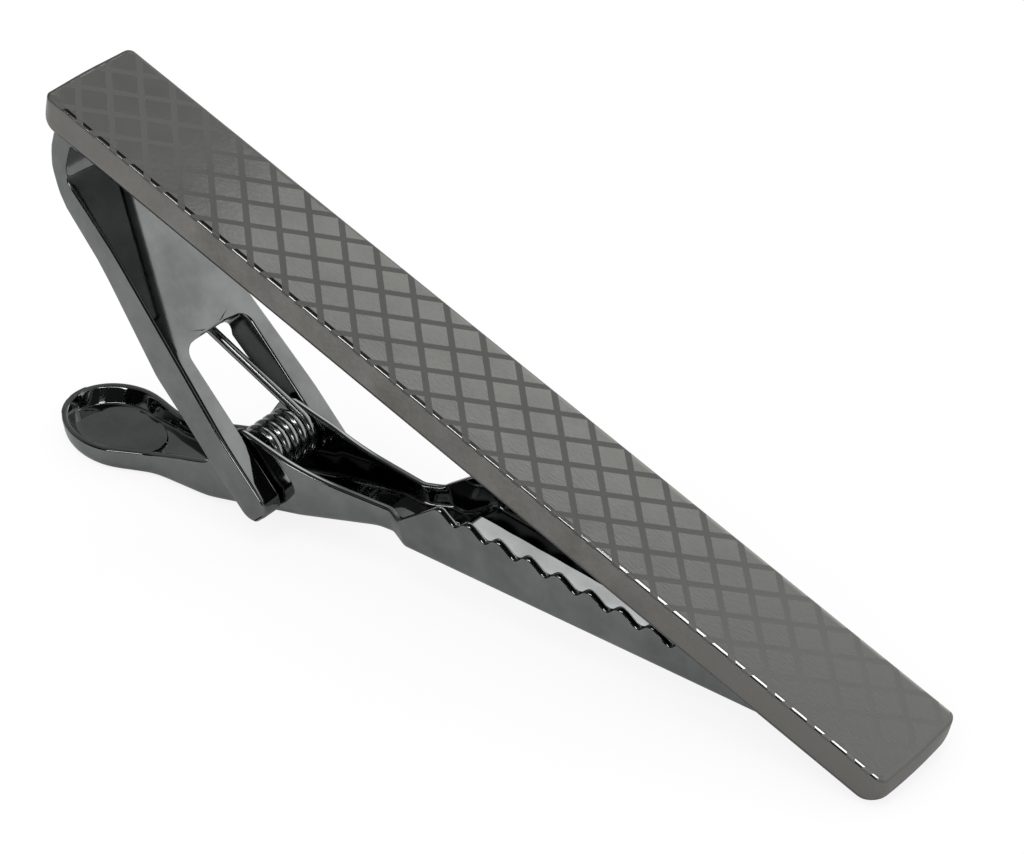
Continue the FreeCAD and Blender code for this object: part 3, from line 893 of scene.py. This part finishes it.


# %% [markdown]
# ## Cells, lines and sides
# The face is plated dark. Its cells are polished but cloudy at the scale of a millimetre or two, the lines between
# them are matte, and the sides are brushed. All three are one recipe: a cloud, and a grain of about a tenth of a
# millimetre. The Object coordinates are turned with a Mapping node so that the grain runs along the bar. Towards both
# ends all three are painted to one even grey, so the lines fade there: painted light that stands in for the sheen,
# which brightens the cells only in the middle of the face.

# %% Satin finish
def satin(name, dark, light, rough_low, rough_high, ends):
    """A cloudy, grainy dark plating, painted to one even grey at the ends of the bar where the sheen does not reach.
    """
    material, tree = new_tree(name)
    place = add_node(tree, "ShaderNodeTexCoord", {}, {}, 3)
    along = add_node(tree, "ShaderNodeMapping", {}, {"Vector": place, "Rotation": (0, -table_tilt, 0)})
    stretched = add_node(tree, "ShaderNodeMapping", {}, {"Vector": along, "Scale": (0.35, 1, 1)})
    cloud = noise(tree, along, 420, 3, 0.6)
    grain = noise(tree, stretched, 9000, 2)
    share = 0.65 * cloud + 0.35 * grain
    reach = add_node(tree, "ShaderNodeSeparateXYZ", {}, {0: along})
    # Painted light: towards both ends the colour is mixed to the ends grey, where the sheen does not reach the cells.
    painted_hinge_end = fade(tree, reach, -0.018, -0.024, 0.0, 0.6)
    painted_free_end = fade(tree, reach, 0.006, 0.019, 0.0, 1.0)
    colour = mixed(tree, painted_hinge_end + painted_free_end, mixed(tree, (share - 0.3) * 2.4, dark, light), ends)
    roughness = rough_low + (rough_high - rough_low) * cloud
    normal = add_node(tree, "ShaderNodeBump", {}, {"Height": grain, "Strength": 0.12, "Distance": 0.00002})
    metal(tree, colour, roughness, normal)
    return material


# The ends greys are painted light: they even out cells and lines where the sheen does not fall.
bright_cell = satin("bright_cell", (0.187, 0.189, 0.179), (0.243, 0.242, 0.23), 0.05, 0.1,
                    ends=(0.21, 0.211, 0.2))
brushed_side = satin("brushed_side", (0.172, 0.168, 0.156), (0.298, 0.29, 0.271), 0.2, 0.35,
                     ends=(0.23, 0.225, 0.21))
matte_line = satin("matte_line", (0.14, 0.141, 0.135), (0.172, 0.172, 0.164), 0.5, 0.62,
                   ends=(0.205, 0.206, 0.196))
print("bar finishes:", bright_cell.name, brushed_side.name, matte_line.name)

# %% [markdown]
# ## Polished plating
# The strip and the lever are polished before they are plated with dark nickel. They mirror the room, but handling
# leaves faint smears and very fine scratches, so the roughness wanders a little and a long, thin noise gives a
# trace of bump.

# %% Polished finishes
def polished(name, dark, light, rough_low, rough_high):
    """A dark mirror plating with faint smears."""
    material, tree = new_tree(name)
    place = add_node(tree, "ShaderNodeTexCoord", {}, {}, 3)
    drawn = add_node(tree, "ShaderNodeMapping", {}, {"Vector": place, "Scale": (0.15, 1, 1)})
    smear = noise(tree, place, 260, 4, 0.65)
    scratch = noise(tree, drawn, 14000, 1)
    colour = mixed(tree, (smear - 0.35) * 3.3, dark, light)
    roughness = rough_low + (rough_high - rough_low) * smear
    normal = add_node(tree, "ShaderNodeBump", {}, {"Height": scratch, "Strength": 0.02, "Distance": 0.00001})
    metal(tree, colour, roughness, normal)
    return material


dark_nickel = polished("dark_nickel", (0.182, 0.188, 0.186), (0.264, 0.273, 0.27), 0.03, 0.09)
spring_wire = polished("spring_wire", (0.25, 0.257, 0.255), (0.34, 0.35, 0.347), 0.12, 0.2)
# Painted shade: a near black for the bar's underside and for the walls between the strip's legs, which lie in shadow.
painted_shade_dark = polished("painted_shade_dark", (0.06, 0.063, 0.062), (0.09, 0.094, 0.093), 0.15, 0.3)
print("polished finishes:", dark_nickel.name, spring_wire.name, painted_shade_dark.name)

# %% [markdown]
# ## Finishes on their pieces
# The bar's faces are already sorted, so its four finishes only have to follow in that order. The strip has two. The
# walls between its legs lie in deep shade, so they get the near black of the bar's back, which paints that shade in.
# They are the faces near the pin that look inwards.

# %% Give each piece its finish
finishes = {bar: (bright_cell, brushed_side, matte_line, painted_shade_dark), strip: (dark_nickel, painted_shade_dark),
            lever: (dark_nickel,), spring: (spring_wire,)}
for piece, materials in finishes.items():
    for material in materials:
        piece.data.materials.append(material)
leg_length = pin_reach - window_top
# Painted shade: the inward walls of the legs near the pin take the near-black finish.
for face in strip.data.polygons:
    on_leg = (face.center - pin_centre).length < leg_length * mm
    inward = face.normal.y * face.center.y < -0.9 * abs(face.center.y)
    face.material_index = 1 if on_leg and inward else 0
for holder in frame["nodes"]["pivot_pin"].material_slots:
    holder.material = dark_nickel
print("dark faces between the legs:", sum(face.material_index for face in strip.data.polygons))

# %% [markdown]
# ## Table, room and lamps
# The clip was photographed on white. Dark polished metal shows whatever stands round it, so the room matters as much
# as the finish. The camera sees a white table and a white room. A reflection sees the same room with its ceiling,
# left side and front dimmed and a dark patch at the front left, because a mirror with only white round it looks flat.
# A bright pane at the back gives the sheen on the middle of the face, and a light patch at the back left shows in the
# floor of the jaw. Three lamps in front and above add the streaks along the edges.

# %% Table top
start_clean()
bpy.ops.mesh.primitive_plane_add(size=3)
floor = bpy.context.object
floor.name = "table_top"


def own_light(tree, for_camera, for_mirror):
    """One value where the camera looks, another in mirrors and glass, and nought for the light on things."""
    rays = tree.nodes.new("ShaderNodeLightPath")
    names = ("Is Camera Ray", "Is Glossy Ray", "Is Transmission Ray")
    camera_ray, mirror_ray, glass_ray = [Signal(tree, rays.outputs[name]) for name in names]
    return for_camera * camera_ray + for_mirror * (mirror_ray + glass_ray)


table_white, tree = new_tree("white_table")
spot = add_node(tree, "ShaderNodeTexCoord", {}, {}, 3)
speckle = noise(tree, spot, 300, 2)
paper = mixed(tree, speckle, (0.86, 0.86, 0.86), (0.9, 0.9, 0.9))
lit = add_node(tree, "ShaderNodeBsdfDiffuse", {}, {"Color": paper})
white = add_node(tree, "ShaderNodeEmission", {}, {"Color": own_light(tree, 1.0, 0.12)})
surface = add_node(tree, "ShaderNodeMixShader", {}, {0: own_light(tree, 0.85, 0.48), 1: lit, 2: white})
table_end = tree.nodes.new("ShaderNodeOutputMaterial")
tree.links.new(surface.socket, table_end.inputs["Surface"])
floor.data.materials.append(table_white)
print("table top:", table_white.name)

# %% Room
world = bpy.data.worlds.new("white_room")
bpy.context.scene.world = world
world.use_nodes = True
room = world.node_tree
room.nodes.clear()
look = add_node(room, "ShaderNodeTexCoord", {}, {})
split = add_node(room, "ShaderNodeSeparateXYZ", {}, {0: look})
to_right, to_back, to_top = [Signal(room, socket) for socket in split.socket.node.outputs]
ceiling = fade(room, to_top, 0.5, 0.78, 1.0, 0.58)
overhead = 1 - fade(room, to_top, 0.82, 0.92, 0.0, 0.92) * fade(room, to_right, 0.02, 0.14, 1.0, 0.0)
left_side = fade(room, to_right, -0.8, 0.1, 0.2, 1.0)
front = fade(room, to_back, -0.35, 0.15, 0.65, 1.0)
under_lamp = 0.626 + 0.8 * to_right - to_top
low_front = 1 - fade(room, to_back, -0.3, -0.05, 1.0, 0.0) * fade(room, under_lamp, 0.02, 0.1, 0.0, 0.96)


def patch(way, start, end, outside, inside):
    """A round patch of the room about one direction."""
    middle = Vector(way).normalized()
    facing = add_node(room, "ShaderNodeVectorMath", {"operation": "DOT_PRODUCT"}, {0: look, 1: middle}, 1)
    return fade(room, facing, start, end, outside, inside)


dark_patch = patch((-0.58, -0.74, 0.38), 0.9, 0.955, 1.0, 0.02)
jaw_light = patch((-0.35, 0.622, 0.7), 0.983, 0.993, 1.0, 4.4)
pane_sides = fade(room, to_right, -0.122, -0.1, 0.0, 1.0) * fade(room, to_right, 0.16, 0.3, 1.0, 0.0)
slanting = to_top + 0.23 * to_right
pane_rows = fade(room, slanting, 0.774, 0.792, 1.0, 0.2) * fade(room, to_back, 0.3, 0.5, 0.0, 1.0)
bright_pane = 1 + pane_sides * pane_rows * fade(room, to_right, -0.02, 0.13, 0.95, 0.3)
shades = ceiling * overhead * left_side * front * low_front * dark_patch * jaw_light * bright_pane
rays = room.nodes.new("ShaderNodeLightPath")
mirrored = Signal(room, rays.outputs["Is Glossy Ray"])
strength = 1 - mirrored * (1 - shades)
glow = add_node(room, "ShaderNodeBackground", {}, {"Color": (1, 1, 1, 1), "Strength": strength})
room_end = room.nodes.new("ShaderNodeOutputWorld")
room.links.new(glow.socket, room_end.inputs["Surface"])
print("nodes in the room:", len(room.nodes))

# %% Lamps
def toward(azimuth, height):
    """Direction at this azimuth and height in degrees: azimuth 0 is the front, 90 the right."""
    turn, rise = math.radians(azimuth), math.radians(height)
    return Vector((math.sin(turn) * math.cos(rise), -math.cos(turn) * math.cos(rise), math.sin(rise)))


def soft_lamp(name, first, last, width, watts, distance=0.5):
    """A lamp that looks at the clip and stretches from the first direction to the last."""
    middle = ((first + last) / 2).normalized()
    length_way = (last - first - middle * middle.dot(last - first)).normalized()
    data = bpy.data.lights.new(name, "AREA")
    data.shape = "RECTANGLE"
    data.size = (last - first).length * distance
    data.size_y = width
    data.energy = watts
    lamp = bpy.data.objects.new(name, data)
    bpy.context.collection.objects.link(lamp)
    lamp_turn = Matrix((length_way, middle.cross(length_way), middle)).transposed().to_4x4()
    lamp.matrix_world = Matrix.Translation(middle * distance) @ lamp_turn
    return lamp


soft_lamp("slanted_lamp", toward(-22, 20), toward(12, 50), 0.05, 0.33)
soft_lamp("upper_lamp", Vector((0.16, -0.6, 0.78)), Vector((0.24, 0.05, 0.97)), 0.08, 0.5)
soft_lamp("edge_lamp", toward(24, 20), toward(40, 20), 0.09, 0.16)

# %% [markdown]
# ## Camera
# The photograph looks down along the bar from its free end. The camera's place and axes were found by matching the
# crosshatch and the outline of the bar, for a picture of 1024 by 854.

# %% Camera
lens = bpy.data.cameras.new("photo_camera")
lens.sensor_fit = "HORIZONTAL"
lens.sensor_width = 36
lens.lens = 119.53
lens.clip_start = 0.005
camera = bpy.data.objects.new("photo_camera", lens)
bpy.context.collection.objects.link(camera)
camera_place = Vector((93.521, -102.481, 99.254))
camera_right = Vector((0.776091, 0.628229, -0.054874))
camera_up = Vector((-0.307969, 0.453507, 0.836353))
camera_back = Vector((0.550307, -0.632187, 0.545438))
camera_turn = Matrix((camera_right, camera_up, camera_back)).transposed().to_4x4()
camera.matrix_world = Matrix.Translation(camera_place * mm) @ camera_turn
bpy.context.scene.camera = camera
bpy.context.scene.view_settings.view_transform = "Standard"
print("camera at", [round(value, 4) for value in camera.location])

# %% [markdown]
# ## Last step
# The view layer is brought up to date.

# %% Bring the view layer up to date
bpy.context.view_layer.update()
